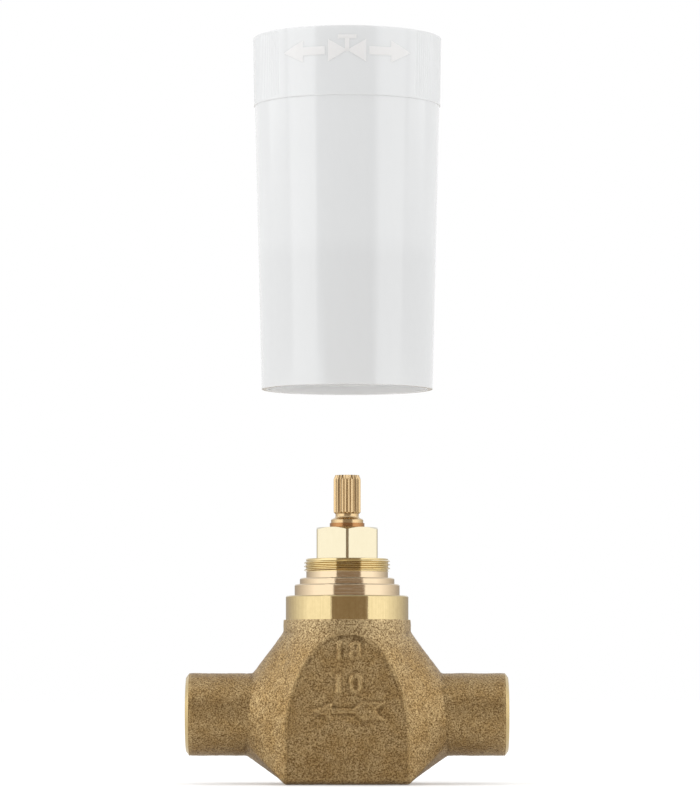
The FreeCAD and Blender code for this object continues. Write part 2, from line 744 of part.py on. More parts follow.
def o_ring(label, index):
    return bound(
        "Torus", label,
        Radius1=f"{half('spindle_diameter')} - {half('o_ring_section')}",
        Radius2=half("o_ring_section"),
        Placement__Base__z=o_ring_height(index),
    )


def retaining_ring():
    """A snap ring, open at the back."""
    body = turned("retaining_ring", [
        (f"{half('ring_root')} + sizes.face_gap", RING_FOOT),
        (half("ring_diameter"), RING_FOOT),
        (half("ring_diameter"), RING_TOP),
        (f"{half('ring_root')} + sizes.face_gap", RING_TOP),
    ], "360 - sizes.ring_gap")
    body.Placement = Placement(Vector(), Rotation(Vector(0, 0, 1), 90))
    body.setExpression("Placement.Rotation.Angle", "90 + sizes.ring_gap / 2")
    return body


# The plaster sleeve

def plaster_sleeve():
    """One moulding: a tapered tube with a band at its wide end, a web inside, and a hub under the web that
    fits over the step of the nose and stands on its collar."""
    wall = cell("sleeve_wall")
    web_foot = cell("web_height")
    web_top = total("web_height", "web_thickness")
    taper = f"(({half('sleeve_under_band')} - {half('sleeve_rim')}) / sizes.sleeve_band)"
    hub_inside = f"({half('step_diameter')} + sizes.sleeve_gap)"
    hub_outside = f"({hub_inside} + sizes.hub_wall)"
    band = cell("sleeve_band")
    throat = f"(min({half('sleeve_under_band')}; {half('band_foot')}) - {wall})"
    corners = [
        (f"{half('sleeve_rim')} - {wall}", "0"),
        (half("sleeve_rim"), "0"),
        (half("sleeve_under_band"), band),
        (half("band_foot"), band),
        (half("band_top"), cell("sleeve_height")),
        (f"{half('band_top')} - {wall}", cell("sleeve_height")),
        (f"{half('band_foot')} - {wall}", f"({band} + {wall})"),
        (throat, band),
        (f"{half('sleeve_under_band')} - ({taper} + 1) * {wall}", f"({band} - {wall})"),
        (f"{half('sleeve_rim')} + {taper} * {web_top} - {wall}", web_top),
        ("0", web_top),
        ("0", web_foot),
        (hub_inside, web_foot),
        (hub_inside, cell("hub_recess")),
        (hub_outside, cell("hub_recess")),
        (hub_outside, web_foot),
        (f"{half('sleeve_rim')} + {taper} * {web_foot} - {wall} - sizes.sleeve_draft", web_foot),
    ]
    raised = [(radius, f"({SLEEVE_FOOT} + {height})") for radius, height in corners]
    return turned("plaster_sleeve", raised)


SEALED = f"({half('housing_bore')} - sizes.seating_gap)"
SUPPORT_OUTSIDE = f"({half('seal_opening')} - sizes.face_gap)"
SUPPORT_TOP = f"({SEAL_TOP} - sizes.support_drop)"
GASKET_INSIDE = f"({half('head_thread')} + sizes.seating_gap)"
GASKET_OUTSIDE = f"({half('head_recess')} - sizes.seating_gap)"
SHAFT_HOLE = f"({half('spindle_diameter')} + sizes.running_gap)"

NODES = [
    valve_body(),
    headpart_housing(),
    ring("housing_gasket", GASKET_INSIDE, GASKET_OUTSIDE, RECESS_FLOOR, FLANGE_FOOT),
    ring("thrust_washer", SHAFT_HOLE, SEALED, WASHER_FOOT, HOUSING_STEP),
    ring("seat_gasket", half("seal_opening"), SEALED, cell("seat_height"), SEAL_TOP),
    ring("seal_support_ring", f"{SUPPORT_OUTSIDE} - sizes.support_wall", SUPPORT_OUTSIDE,
         f"{SUPPORT_TOP} - sizes.support_height", SUPPORT_TOP),
    lower_disc(),
    upper_disc(),
    spindle(),
    o_ring("spindle_o_ring_lower", 0),
    o_ring("spindle_o_ring_upper", 1),
    retaining_ring(),
    plaster_sleeve(),
]

doc.recompute()
failed = [thing.Name for thing in doc.Objects if {"Invalid", "Error"} & set(thing.State)]
if failed:
    raise RuntimeError(f"objects that did not build: {failed}")
for node in NODES:
    if node.Shape.isNull() or not node.Shape.isValid() or len(node.Shape.Solids) != 1:
        raise RuntimeError(f"{node.Label} is not one valid solid")

os.makedirs("parts", exist_ok=True)
for node in NODES:
    node.Shape.exportStep(os.path.join("parts", f"{node.Label}.step"))
    print(f"{node.Label}: {node.Shape.Volume / 1000:.3f} cm3")
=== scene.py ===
# %% [markdown]
# # A concealed shower valve and its plaster sleeve
# The valve is a small brass casting that disappears in a bathroom wall. Two copper tubes are soldered into
# its sockets, and a headpart with a splined spindle is screwed into its nose. The white sleeve above it
# keeps the plaster away from the nose until the tiles are up. In the picture it is lifted off. The measured
# model comes in as a frame, and this lesson puts the finishes and the fine shapes on it.

# %% Load the frame
import math

import bmesh
import bpy
from mathutils import Matrix, Vector, noise


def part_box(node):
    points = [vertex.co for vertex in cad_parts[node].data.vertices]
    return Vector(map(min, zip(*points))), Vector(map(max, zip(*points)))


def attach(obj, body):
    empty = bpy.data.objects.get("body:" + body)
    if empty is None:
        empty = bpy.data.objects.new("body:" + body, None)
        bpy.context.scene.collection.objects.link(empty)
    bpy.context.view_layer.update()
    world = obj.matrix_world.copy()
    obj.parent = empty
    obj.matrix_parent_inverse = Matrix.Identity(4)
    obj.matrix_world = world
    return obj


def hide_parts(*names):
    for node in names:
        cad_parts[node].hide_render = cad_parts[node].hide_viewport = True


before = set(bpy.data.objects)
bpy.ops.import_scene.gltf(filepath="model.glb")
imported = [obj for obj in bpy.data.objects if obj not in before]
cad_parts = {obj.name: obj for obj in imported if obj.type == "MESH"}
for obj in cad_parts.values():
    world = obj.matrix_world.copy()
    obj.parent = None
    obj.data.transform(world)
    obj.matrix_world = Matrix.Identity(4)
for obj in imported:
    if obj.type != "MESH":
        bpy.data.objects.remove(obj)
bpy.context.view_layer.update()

MM = 0.001
VALVE_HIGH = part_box("valve_body")[1]
SLEEVE_LOW, SLEEVE_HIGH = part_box("plaster_sleeve")
print("nodes:", sorted(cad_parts))
print("valve top", round(VALVE_HIGH.z / MM, 2), "mm, sleeve top", round(SLEEVE_HIGH.z / MM, 2), "mm")

# %% [markdown]
# ## Writing a finish as sums
# A finish is a web of shader nodes. Wiring every Math node by hand hides the idea behind it, so one small
# class wraps a socket and lets ordinary sums add the nodes. Every other node comes from one method of the
# web.


# %% A socket that can be used in sums
class Socket:
    def __init__(self, web, plug):
        self.web = web
        self.plug = plug

    def maths(self, operation, first, second):
        return self.web.node("ShaderNodeMath", {"operation": operation}, {0: first, 1: second})

    def __add__(self, other):
        return self.maths("ADD", self, other)

    def __sub__(self, other):
        return self.maths("SUBTRACT", self, other)

    def __rsub__(self, other):
        return self.maths("SUBTRACT", other, self)

    def __mul__(self, other):
        return self.maths("MULTIPLY", self, other)

    def __gt__(self, other):
        return self.maths("GREATER_THAN", self, other)

    def __lt__(self, other):
        return self.maths("LESS_THAN", self, other)

    __radd__ = __add__
    __rmul__ = __mul__


# %% A web of nodes, and a finish with a Principled shader in it
class Web:
    def __init__(self, tree):
        self.tree = tree

    def connect(self, value, plug):
        if isinstance(value, Socket):
            self.tree.links.new(value.plug, plug)
        else:
            plug.default_value = value

    def node(self, kind, settings=None, sockets=None, output=0):
        made = self.tree.nodes.new(kind)
        for setting, value in (settings or {}).items():
            setattr(made, setting, value)
        for socket, value in (sockets or {}).items():
            self.connect(value, made.inputs[socket])
        return Socket(self, made.outputs[output])


class Finish(Web):
    def __init__(self, name, **constants):
        self.material = bpy.data.materials.new(name)
        self.material.use_nodes = True
        super().__init__(self.material.node_tree)
        self.shader = self.tree.nodes["Principled BSDF"]
        for socket, value in constants.items():
            self.shader.inputs[socket.replace("_", " ")].default_value = value

    def place(self):
        return self.node("ShaderNodeTexCoord", output="Object")

    def height(self):
        return self.node("ShaderNodeSeparateXYZ", None, {0: self.place()}, output="Z")

    def grain(self, place, size, detail=2.0, roughness=0.5):
        """Noise between 0 and 1 whose lumps are about one size wide."""
        settings = {"noise_dimensions": "3D"}
        sockets = {"Vector": place, "Scale": 1 / size, "Detail": detail, "Roughness": roughness}
        return self.node("ShaderNodeTexNoise", settings, sockets)

    def ramp(self, value, low, high):
        """0 below low, 1 above high, and straight between."""
        settings = {"clamp": True}
        sockets = {"Value": value, "From Min": low, "From Max": high}
        return self.node("ShaderNodeMapRange", settings, sockets)

    def blend(self, share, first, second):
        settings = {"data_type": "RGBA"}
        sockets = {0: share, 6: first, 7: second}
        return self.node("ShaderNodeMix", settings, sockets, output=2)

    def paint(self, **links):
        for socket, value in links.items():
            self.connect(value, self.shader.inputs[socket.replace("_", " ")])

    def emboss(self, height, depth):
        """Lets a height between 0 and 1 stand out of the surface by a depth."""
        bump = self.node("ShaderNodeBump", None, {"Height": height, "Distance": depth, "Strength": 1.0})
        self.paint(Normal=bump)


def tint(red, green, blue):
    return (red, green, blue, 1.0)


# %% [markdown]
# ## Sand-cast brass
# Molten brass takes the print of every grain of sand, and the skin stays rough, brown in its pits and
# brighter on its tips. A single noise looks like plaster. Two sizes of grain, with the pits darker and
# duller than the tips, look like a casting. Dirt and painted shade darken the corners and hands rub the
# edges bright, so the finish also reads how hollow the skin is at each point, which is measured when the
# skin is made. The neck gets a painted highlight, so it is brighter, and the foot gets painted shade, so it
# is a little darker.

# %% The cast finish
SAND_GRAIN = 0.42 * MM
FINE_GRAIN = 0.22 * MM
PATCH_SIZE = 1.8 * MM
STAIN_SIZE = 4.5 * MM
GRIT_RELIEF = 0.18 * MM
# Painted highlight: the neck is lighter between these heights.
LIT_NECK = (36.0 * MM, 44.0 * MM)
# Painted shade: the skin darkens between these heights towards the floor.
SHADED_FOOT = (9.0 * MM, 1.0 * MM)
PIT = tint(0.12, 0.065, 0.024)
BROWN_TIP = tint(0.485, 0.330, 0.145)
YELLOW_TIP = tint(0.59, 0.43, 0.215)
# The colour of the painted highlight on the neck.
NECK_HIGHLIGHT_TIP = tint(0.74, 0.58, 0.33)
RUBBED_EDGE = tint(0.62, 0.46, 0.23)
# Dirt and painted shade: the hollows and the foot are darkened towards this colour.
DIRT_AND_SHADE = tint(0.085, 0.048, 0.018)


def cast_brass():
    finish = Finish("cast_brass", Metallic=1.0)
    place = finish.place()
    sand = finish.grain(place, SAND_GRAIN, 3.0, 0.65)
    fine = finish.grain(place, FINE_GRAIN, 2.0, 0.6)
    grit = sand * 0.65 + fine * 0.35
    stain = finish.ramp(finish.grain(place, STAIN_SIZE, 3.0, 0.6), 0.38, 0.64)
    patchy = finish.ramp(finish.grain(place, PATCH_SIZE, 2.0), 0.35, 0.65)
    hollow = finish.node("ShaderNodeAttribute", {"attribute_name": "hollow"}, output="Fac")
    speckle = finish.ramp(grit, 0.40, 0.61)
    # Dirt and painted shade in the hollows of the skin.
    grime_and_shade = finish.ramp(hollow, 0.15, 0.8) * (0.4 + patchy * 0.6)
    rubbed = finish.ramp(hollow, -0.15, -0.9) * patchy
    height = finish.height()
    # Painted highlight on the neck, under the collar.
    neck_highlight = finish.ramp(height, *LIT_NECK)
    # Painted shade at the foot.
    foot = finish.ramp(height, *SHADED_FOOT)
    tips = finish.blend(neck_highlight * 0.75, finish.blend(stain, BROWN_TIP, YELLOW_TIP), NECK_HIGHLIGHT_TIP)
    worn = finish.blend(rubbed * 0.35, finish.blend(speckle, PIT, tips), RUBBED_EDGE)
    finish.paint(
        Base_Color=finish.blend(grime_and_shade * 0.75 + foot * 0.14, worn, DIRT_AND_SHADE),
        Roughness=0.48 - speckle * 0.12 - rubbed * 0.08,
    )
    finish.emboss(grit, GRIT_RELIEF)
    return finish.material


# %% [markdown]
# ## Turned brass
# A lathe tool leaves rings so fine that they only stretch the reflections. They run round the axis, so the
# noise is squeezed along the axis and stretched across it. A drawn bar has its fine lines along its length
# instead, and the collar is scratched that way too, because the sleeve is pushed on over it. The collar and
# the thread came out yellow; the steps between them were skimmed later and are paler, so the colour follows
# the height.

# %% The turned finishes
NECK_TOP = 45.7 * MM
COLLAR_TOP = NECK_TOP + 6.4 * MM
STEP_TOP = COLLAR_TOP + 3.2 * MM
SHOULDER_TOP = STEP_TOP + 1.75 * MM
UNDERCUT_TOP = SHOULDER_TOP + 1.7 * MM
NOSE_TOP = VALVE_HIGH.z
COLLAR_EDGE = COLLAR_TOP - 0.05 * MM
RINGS_ROUND_X = (1.0, 0.02, 0.02)
RINGS_ROUND_Z = (0.02, 0.02, 1.0)
LINES_ALONG_Z = (1.0, 1.0, 0.02)
RING_SPACING = 0.22 * MM
SCRATCH_SPACING = 0.30 * MM
SMEAR_SIZE = 1.4 * MM
RING_RELIEF = 0.010 * MM
BAR_SPACING = 0.16 * MM
BAR_RELIEF = 0.006 * MM
CLOUD_SIZE = 2.4 * MM


def tool_marks(finish, squeeze, spacing):
    """Fine lines, drawn out along the axes with a small squeeze."""
    settings = {"vector_type": "POINT"}
    lines = finish.node("ShaderNodeMapping", settings, {"Vector": finish.place(), "Scale": squeeze})
    return finish.grain(lines, spacing, 3.0, 0.6)


def nose_brass():
    finish = Finish("nose_brass", Metallic=1.0)
    rings = tool_marks(finish, RINGS_ROUND_Z, RING_SPACING)
    scratches = tool_marks(finish, LINES_ALONG_Z, SCRATCH_SPACING)
    streaks = scratches * 0.6 + finish.grain(finish.place(), SMEAR_SIZE) * 0.4
    height = finish.height()
    pale = (height > COLLAR_EDGE) * (height < UNDERCUT_TOP)
    threaded = height > UNDERCUT_TOP
    marks = rings + (streaks - rings) * (height < COLLAR_EDGE)
    yellow = finish.blend(marks, tint(0.42, 0.33, 0.17), tint(0.62, 0.50, 0.28))
    skimmed = finish.blend(marks, tint(0.54, 0.425, 0.285), tint(0.60, 0.48, 0.335))
    cutting = finish.blend(marks, tint(0.56, 0.445, 0.23), tint(0.645, 0.53, 0.305))
    turned = finish.blend(threaded, finish.blend(pale, yellow, skimmed), cutting)
    finish.paint(Base_Color=turned, Roughness=0.07 + marks * 0.06)
    finish.emboss(marks, RING_RELIEF)
    return finish.material


def bright_brass(name, dull, bright, squeeze, roughness):
    finish = Finish(name, Metallic=1.0)
    marks = tool_marks(finish, squeeze, BAR_SPACING)
    cloud = finish.grain(finish.place(), CLOUD_SIZE)
    finish.paint(
        Base_Color=finish.blend(marks * 0.6 + cloud * 0.4, dull, bright),
        Roughness=roughness + cloud * 0.08,
    )
    finish.emboss(marks, BAR_RELIEF)
    return finish.material


# %% [markdown]
# ## White plastic, seals and ceramic
# The sleeve is a glossy moulding that lets a little light through, so it gets some light under its skin,
# and a faint flow of the melt in its gloss. Below its web the hub stands behind the wall, and less light
# comes through: the tone is a shade darker there. Its inside is duller and glows with the light that comes
# through the thin wall, so more of its light goes under the skin there, and its tint is painted a little
# lighter than the outside's for that glow. The pieces inside the headpart are never seen in the picture,
# but each still gets the finish of its real material.

# %% The plastics, the rubber and the ceramic
WEB_LEVEL = SLEEVE_LOW.z + 38.0 * MM
WEB_BLUR = 3.0 * MM
FLOW_SIZE = 14.0 * MM
RIPPLE_SIZE = 5.0 * MM
RIPPLE_RELIEF = 0.004 * MM
MOULD_RELIEF = 0.01 * MM


def shaded(colour, share):
    return tuple(share * channel for channel in colour[:3]) + (1.0,)


def white_plastic(name, colour, roughness, share, depth):
    """A share of the light goes under the skin, to about a depth."""
    finish = Finish(
        name, Subsurface_Weight=share, Subsurface_Radius=(depth, depth, depth), Subsurface_Scale=1.0,
        Specular_IOR_Level=0.8,
    )
    flow = finish.grain(finish.place(), FLOW_SIZE)
    below = finish.ramp(finish.height(), WEB_LEVEL + WEB_BLUR, WEB_LEVEL - WEB_BLUR)
    skin = finish.blend(flow, shaded(colour, 0.98), colour)
    finish.paint(
        Base_Color=finish.blend(below, skin, shaded(colour, 0.955)),
        Roughness=roughness + flow * 0.04,
    )
    finish.emboss(finish.grain(finish.place(), RIPPLE_SIZE), RIPPLE_RELIEF)
    return finish.material


def moulded(name, dark, light, size, roughness):
    finish = Finish(name)
    skin = finish.grain(finish.place(), size, 3.0)
    finish.paint(Base_Color=finish.blend(skin, dark, light), Roughness=roughness + skin * 0.12)
    finish.emboss(skin, MOULD_RELIEF)
    return finish.material


# %% Make every finish once
FINISHES = {
    "cast": cast_brass(),
    "nose": nose_brass(),
    "hexagon": bright_brass(
        "hexagon_brass", tint(0.51, 0.455, 0.325), tint(0.57, 0.52, 0.39), LINES_ALONG_Z, 0.08),
    "spindle": bright_brass(
        "spindle_brass", tint(0.50, 0.35, 0.18), tint(0.60, 0.45, 0.265), LINES_ALONG_Z, 0.14),
    "socket": bright_brass(
        "socket_brass", tint(0.50, 0.37, 0.16), tint(0.64, 0.50, 0.27), RINGS_ROUND_X, 0.22),
    "bronze": bright_brass(
        "ring_bronze", tint(0.30, 0.145, 0.055), tint(0.42, 0.21, 0.09), RINGS_ROUND_Z, 0.2),
    "sleeve": white_plastic("sleeve_plastic", tint(0.79, 0.805, 0.815), 0.12, 0.25, 2.0 * MM),
    # Painted glow: the inside of the same moulding gets a lighter tint than the outside.
    "sleeve_inside_painted_glow": white_plastic("sleeve_inside_painted_glow", tint(0.85, 0.87, 0.885), 0.35, 0.95, 6.0 * MM),
    "sign": white_plastic("sign_plastic", tint(0.99, 0.99, 0.99), 0.4, 0.25, 2.0 * MM),
    "rubber": moulded("seal_rubber", tint(0.012, 0.012, 0.013), tint(0.03, 0.03, 0.03), 0.4 * MM, 0.6),
    "ceramic": moulded("disc_ceramic", tint(0.74, 0.72, 0.67), tint(0.82, 0.80, 0.76), 0.3 * MM, 0.25),
    "glide": moulded("glide_plastic", tint(0.42, 0.42, 0.40), tint(0.52, 0.52, 0.50), 0.5 * MM, 0.4),
}
print("finishes:", ", ".join(FINISHES))

# %% [markdown]
# ## Giving the measured pieces their finish
# The spindle's ring and everything inside the headpart already have their true shape in the frame. They
# only change their material.

# %% Dress the frame's own pieces
DRESS = {
    "retaining_ring": "bronze",
    "thrust_washer": "glide",
    "seal_support_ring": "glide",
    "housing_gasket": "rubber",
    "seat_gasket": "rubber",
    "spindle_o_ring_lower": "rubber",
    "spindle_o_ring_upper": "rubber",
    "lower_disc": "ceramic",
    "upper_disc": "ceramic",
}


def dress(mesh, finish):
    mesh.materials.clear()
    mesh.materials.append(FINISHES[finish])


for node, finish in DRESS.items():
    dress(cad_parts[node].data, finish)
print("dressed", len(DRESS), "pieces of the frame")

# %% [markdown]
# ## From a bmesh to a piece
# A piece is finished the same way each time: its doubles are merged, its faces turned outwards, its sharp
# edges kept sharp, and it is tied to the body that it moves with. Rounded edges would bend the light over
# the large faces beside them, so the normals lean on the largest faces: a cylinder then mirrors as a
# cylinder does.

# %% Finish a piece
MERGE = 0.001 * MM
FRAME_MERGE = 0.0005 * MM
LEVEL_WITHIN = 0.01 * MM


def closed(form):
    """Merges doubles and turns the faces outwards."""
    bmesh.ops.remove_doubles(form, verts=form.verts, dist=MERGE)
    bmesh.ops.recalc_face_normals(form, faces=form.faces)
    return form


def finished_piece(name, form, finish, body, node, sharp=30.0, large_faces_flat=True):
    mesh = bpy.data.meshes.new(name)
    closed(form).to_mesh(mesh)
    form.free()
    mesh.shade_smooth()
    mesh.set_sharp_from_angle(angle=math.radians(sharp))
    dress(mesh, finish)
    piece = bpy.data.objects.new(name, mesh)
    bpy.context.scene.collection.objects.link(piece)
    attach(piece, body)
    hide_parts(node)
    if large_faces_flat:
        weighted = piece.modifiers.new("large_faces_flat", "WEIGHTED_NORMAL")
        weighted.keep_sharp = True
        weighted.weight = 100
    mesh.calc_loop_triangles()
    print(name, "has", len(mesh.loop_triangles), "triangles")
    return piece


# %% Helpers for spun and cut shapes
def spun(corners, axis, centre, across, steps):
    """A closed (radius, along) outline, in millimetres, spun once round an axis."""
    form = bmesh.new()
    axis = Vector(axis)
    verts = [form.verts.new(Vector(centre) + MM * (r * Vector(across) + a * axis)) for r, a in corners]
    edges = [form.edges.new((verts[i - 1], verts[i])) for i in range(len(verts))]
    bmesh.ops.spin(
        form, geom=verts + edges, cent=centre, axis=axis, angle=2 * math.pi, steps=steps, use_merge=True)
    return closed(form)


def reach_of(vert):
    """How far a point stands from the axis of the spindle, in millimetres."""
    return math.hypot(vert.co.x, vert.co.y) / MM


def set_reach(vert, reach):
    """Moves a point straight in or out from that axis."""
    share = reach / reach_of(vert)
    vert.co.x *= share
    vert.co.y *= share


def cut(form, point, normal, clear=False):
    geometry = form.verts[:] + form.edges[:] + form.faces[:]
    bmesh.ops.bisect_plane(
        form, geom=geometry, dist=FRAME_MERGE, plane_co=point, plane_no=normal, clear_outer=clear)


def frame_copy(node):
    """A copy of a measured piece, whose loose triangles are merged."""
    form = bmesh.new()
    form.from_mesh(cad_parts[node].data)
    bmesh.ops.remove_doubles(form, verts=form.verts, dist=FRAME_MERGE)
    return form


def join(form, extra):
    """Moves all of one form into another."""
    mesh = bpy.data.meshes.new("extra")
    extra.to_mesh(mesh)
    extra.free()
    form.from_mesh(mesh)
    bpy.data.meshes.remove(mesh)


def open_loops(form):
    """The open rims of a form, each as a list of edges."""
    rims = {edge for edge in form.edges if len(edge.link_faces) == 1}
    loops = []
    while rims:
        loop = [rims.pop()]
        waiting = list(loop[0].verts)
        while waiting:
            for edge in waiting.pop().link_edges:
                if edge in rims:
                    rims.remove(edge)
                    loop.append(edge)
                    waiting.extend(edge.verts)
        loops.append(loop)
    return loops


def soften(form, width, above=25.0, rings_only=False):
    """Rounds the edges whose faces meet at more than an angle, all of them or only the level ones."""
    form.normal_update()
    sharp = []
    for edge in form.edges:
        bent = len(edge.link_faces) == 2 and edge.calc_face_angle(0.0) > math.radians(above)
        level = abs(edge.verts[0].co.z - edge.verts[1].co.z) < LEVEL_WITHIN
        if bent and (level or not rings_only):
            sharp.append(edge)
    bmesh.ops.bevel(
        form, geom=sharp, offset=width, affect="EDGES", segments=2, profile=0.5, material=-1,
        clamp_overlap=True)
    return form


# %% [markdown]
# ## The hexagon
# The housing is turned from drawn hexagon bar. The corners of such a bar come rounded from the mill, and
# the lathe chamfers its top with a cone. Round corners matter in the picture: the one that faces the camera
# mirrors the dark gap between the lights as a fine upright line. The measured mesh is kept up to its
# flange. The hexagon above is spun as a round disc first, and then every point of its wall is moved out to
# the rounded hexagon.

# %% Draw the hexagon
HEXAGON_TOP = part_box("headpart_housing")[1].z / MM
HEXAGON_FLAT = 8.5
HEXAGON_ROUND = 1.3
HEXAGON_BORE = 4.55
HEXAGON_RIM = 0.15
HEXAGON_OVERLAP = 0.01
HEXAGON_STEPS = 720
CHAMFER = math.tan(math.radians(30))


def kept_below(node, level):
    """A merged copy of a measured piece, cut off at a height and closed again."""
    form = frame_copy(node)
    cut(form, (0, 0, level * MM), (0, 0, 1), clear=True)
    loops = open_loops(form)
    if len(loops) == 2:
        bmesh.ops.bridge_loops(form, edges=loops[0] + loops[1])
    else:
        bmesh.ops.holes_fill(form, edges=loops[0], sides=0)
    print(node, "cut at", round(level, 2), "mm with", len(loops), "rims, left open:", len(open_loops(form)))
    return form


def hexagon_reach(turn):
    """From the axis to the wall of a hexagon with rounded corners, the first corner at a turn of 0."""
    sixth = math.radians(60)
    off = abs((turn + sixth / 2) % sixth - sixth / 2)
    centre = (HEXAGON_FLAT - HEXAGON_ROUND) / math.cos(sixth / 2)
    blend = math.atan2(HEXAGON_ROUND * math.sin(sixth / 2), centre + HEXAGON_ROUND * math.cos(sixth / 2))
    if off < blend:
        return centre * math.cos(off) + math.sqrt(HEXAGON_ROUND ** 2 - (centre * math.sin(off)) ** 2)
    return HEXAGON_FLAT / math.cos(sixth / 2 - off)


def hexagon_head():
    foot = NOSE_TOP / MM
    corners = [
        (HEXAGON_BORE, foot), (HEXAGON_FLAT, foot), (HEXAGON_FLAT, HEXAGON_TOP),
        (HEXAGON_FLAT - HEXAGON_RIM, HEXAGON_TOP), (HEXAGON_BORE, HEXAGON_TOP),
    ]
    form = spun(corners, (0, 0, 1), (0, 0, 0), (0, -1, 0), HEXAGON_STEPS)
    for vert in form.verts:
        if reach_of(vert) > HEXAGON_FLAT - HEXAGON_RIM / 2:
            reach = hexagon_reach(math.atan2(vert.co.x, -vert.co.y))
            set_reach(vert, reach)
            if vert.co.z > NOSE_TOP + MM:
                vert.co.z -= (reach - HEXAGON_FLAT) * CHAMFER * MM
    return form


housing = kept_below("headpart_housing", NOSE_TOP / MM - HEXAGON_OVERLAP)
join(housing, hexagon_head())
finished_piece("hexagon_housing", housing, "hexagon", "valve", "headpart_housing")

# %% [markdown]
# ## The spline
# The handle grips the spindle by twenty small teeth. They are rolled, so their tips and roots are soft, and
# a lead at either end lets the handle slip on. They are spun like the hexagon, and each point of the wall
# is moved in to its place on a tooth. Below them the relief runs out into the lip in a fillet.

# %% Cut the spline
SPINDLE_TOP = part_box("spindle")[1].z / MM
RING_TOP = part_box("retaining_ring")[1].z / MM
LIP_TOP = RING_TOP + 1.2
SPLINE_FOOT = SPINDLE_TOP - 10.8
SPLINE_TIP = 3.825
SPLINE_ROOT = 3.35
SPLINE_TEETH = 20
STEPS_A_TOOTH = 16
LEAD_ALONG = 1.2
LEAD_DEEP = 0.45
SPINDLE_CUT = RING_TOP + 0.3
LIP_RADIUS = 4.5
LIP_EASE = 0.3
LIP_FILLET = ((4.2, 0.0), (3.75, 0.12), (3.42, 0.38), (3.25, 0.85))
RELIEF_RADIUS = 3.25
SCREW_HOLE = 2.1
HOLE_EASE = 0.3
HOLE_FLOOR = SPINDLE_TOP - 11.5
HOLE_POINT = HOLE_FLOOR - 1.26
HAIR = 0.01


def tooth_reach(turn, height):
    pitch = 2 * math.pi / SPLINE_TEETH
    off = abs((turn + pitch / 2) % pitch - pitch / 2) / (pitch / 2)
    rounded = off * off * (3 - 2 * off)
    tooth = SPLINE_ROOT + (SPLINE_TIP - SPLINE_ROOT) * (off + rounded) / 2
    lead = SPLINE_TIP - LEAD_DEEP * (height - SPINDLE_TOP + LEAD_ALONG) / LEAD_ALONG
    start = SPLINE_TIP - LEAD_DEEP + height - SPLINE_FOOT
    return min(tooth, lead, start)


def spline_head():
    corners = [
        (0, SPINDLE_CUT), (LIP_RADIUS, SPINDLE_CUT), (LIP_RADIUS, LIP_TOP - LIP_EASE),
        *((radius, LIP_TOP + up) for radius, up in LIP_FILLET),
        (RELIEF_RADIUS, SPLINE_FOOT), (SPLINE_TIP, SPLINE_FOOT), (SPLINE_TIP, SPLINE_FOOT + LEAD_DEEP),
        (SPLINE_TIP, SPINDLE_TOP - LEAD_ALONG), (SPLINE_TIP, SPINDLE_TOP),
        (SCREW_HOLE + HOLE_EASE, SPINDLE_TOP), (SCREW_HOLE, SPINDLE_TOP - HOLE_EASE),
        (SCREW_HOLE, HOLE_FLOOR), (0, HOLE_POINT),
    ]
    form = spun(corners, (0, 0, 1), (0, 0, 0), (1, 0, 0), SPLINE_TEETH * STEPS_A_TOOTH)
    for vert in form.verts:
        height = vert.co.z / MM
        if height > SPLINE_FOOT - HAIR and reach_of(vert) > SPLINE_TIP - HAIR:
            set_reach(vert, tooth_reach(math.atan2(vert.co.y, vert.co.x), height))
    return form


splined = kept_below("spindle", SPINDLE_CUT)
join(splined, spline_head())
finished_piece("splined_spindle", splined, "spindle", "spindle", "spindle")

# %% [markdown]
# ## The turned nose
# The nose is one lathe profile: the collar, two steps that centre the sleeve, a relief and the land of the
# trim thread. The thread itself is a small tooth that climbs one pitch a turn. Spin can do that too,
# because it can also move at every step. Where the tooth would stand past the land's chamfers, it is held
# back to them, so the thread fades out as a cut one does.

# %% Turn the nose
COLLAR_RADIUS = 17.1
STEP_RADIUS = 14.65
SHOULDER_RADIUS = 13.2
UNDERCUT_RADIUS = 11.4
FLANGE_SEAT = 10.0
FLANGE_DEEP = 3.0
HEAD_BORE = 8.35
HEAD_BORE_FOOT = 47.0
CHAMBER_RADIUS = 9.43
THREAD_RADIUS = 12.0
THREAD_DEPTH = 0.58
THREAD_LEAD = 0.7
LAND_STEP = 0.02
EASE = 0.35
NOSE_ROUND = 0.09 * MM
NOSE_STEPS = 160
FOOT = NECK_TOP / MM - 0.7
TOP = NOSE_TOP / MM


def eased(radius, top):
    """The two corners of a turned edge with its small chamfer."""
    return [(radius, top - EASE), (radius - EASE, top)]


def turned_nose():
    core = THREAD_RADIUS - THREAD_DEPTH
    corners = [
        (CHAMBER_RADIUS, FOOT), (COLLAR_RADIUS, FOOT), *eased(COLLAR_RADIUS, COLLAR_TOP / MM),
        (STEP_RADIUS, COLLAR_TOP / MM), *eased(STEP_RADIUS, STEP_TOP / MM),
        (SHOULDER_RADIUS, STEP_TOP / MM), *eased(SHOULDER_RADIUS, SHOULDER_TOP / MM),
        (UNDERCUT_RADIUS, SHOULDER_TOP / MM), (UNDERCUT_RADIUS, UNDERCUT_TOP / MM),
        (core, UNDERCUT_TOP / MM + LAND_STEP), (core, TOP - THREAD_LEAD + THREAD_DEPTH),
        (THREAD_RADIUS - THREAD_LEAD, TOP), (FLANGE_SEAT, TOP), (FLANGE_SEAT, TOP - FLANGE_DEEP),
        (HEAD_BORE, TOP - FLANGE_DEEP), (HEAD_BORE, HEAD_BORE_FOOT),
    ]
    form = spun(corners, (0, 0, 1), (0, 0, 0), (1, 0, 0), NOSE_STEPS)
    return soften(form, NOSE_ROUND)


# %% Cut the thread
THREAD_PITCH = 1.0
THREAD_STEPS = 96
THREAD_ROOT = THREAD_RADIUS - THREAD_DEPTH - 0.1
TOOTH_FOOT = 0.46
TOOTH_CREST = 0.07
THREAD_INSET = 0.03 * MM


